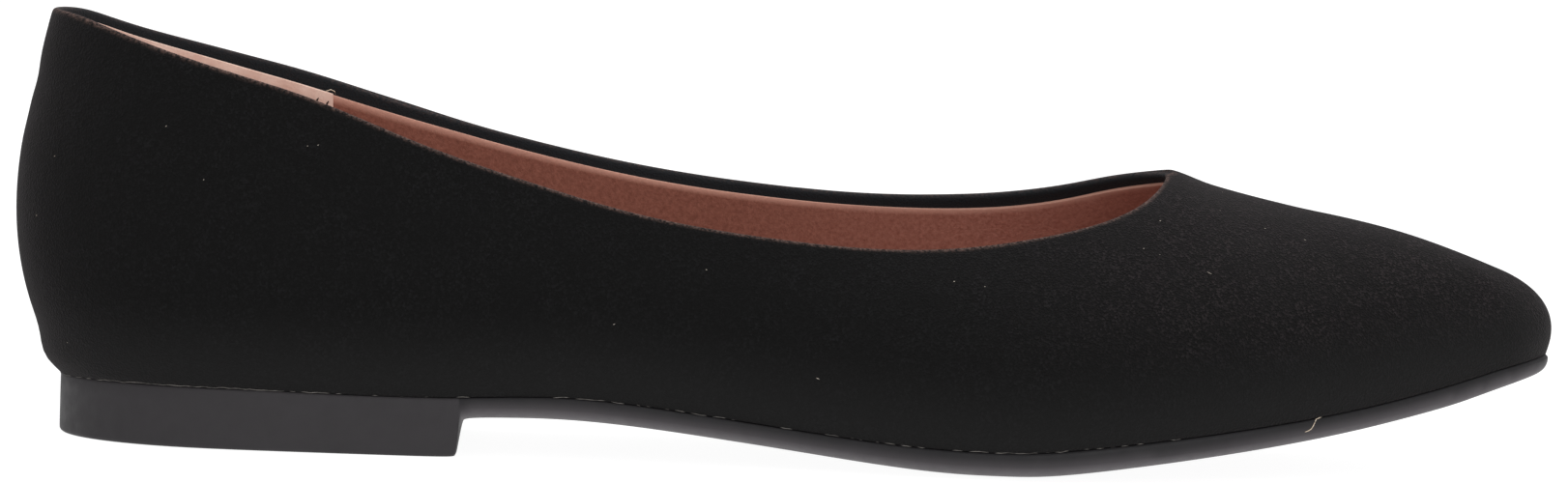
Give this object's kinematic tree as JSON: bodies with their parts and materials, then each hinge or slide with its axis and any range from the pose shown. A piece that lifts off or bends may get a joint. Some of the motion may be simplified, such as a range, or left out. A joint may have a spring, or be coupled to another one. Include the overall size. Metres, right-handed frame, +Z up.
{
  "type": "pointed toe flat shoe",
  "caption": "Women's right pointed toe flat in black suede on a charcoal moulded sole with a low heel, open collar and brown lining.",
  "frame": {"origin": "centre of the heel's flat foot, on the floor", "axes": "+X from the heel to the toe, +Y to the inner side of the right foot, +Z up"},
  "size_m": [0.2561, 0.0762, 0.0702],
  "materials": {
    "suede": "black suede, matt nap",
    "moulded_rubber": "charcoal moulded sole, satin",
    "sock_lining": "brown microsuede sock",
    "lining": "brown microsuede lining",
    "heel_grip": "pale pink beige leather heel grip",
    "thread": "beige sewing thread"
  },
  "bodies": {
    "root": {"upper": "suede", "outsole": "moulded_rubber", "insole": "sock_lining"}
  },
  "joints": []
}
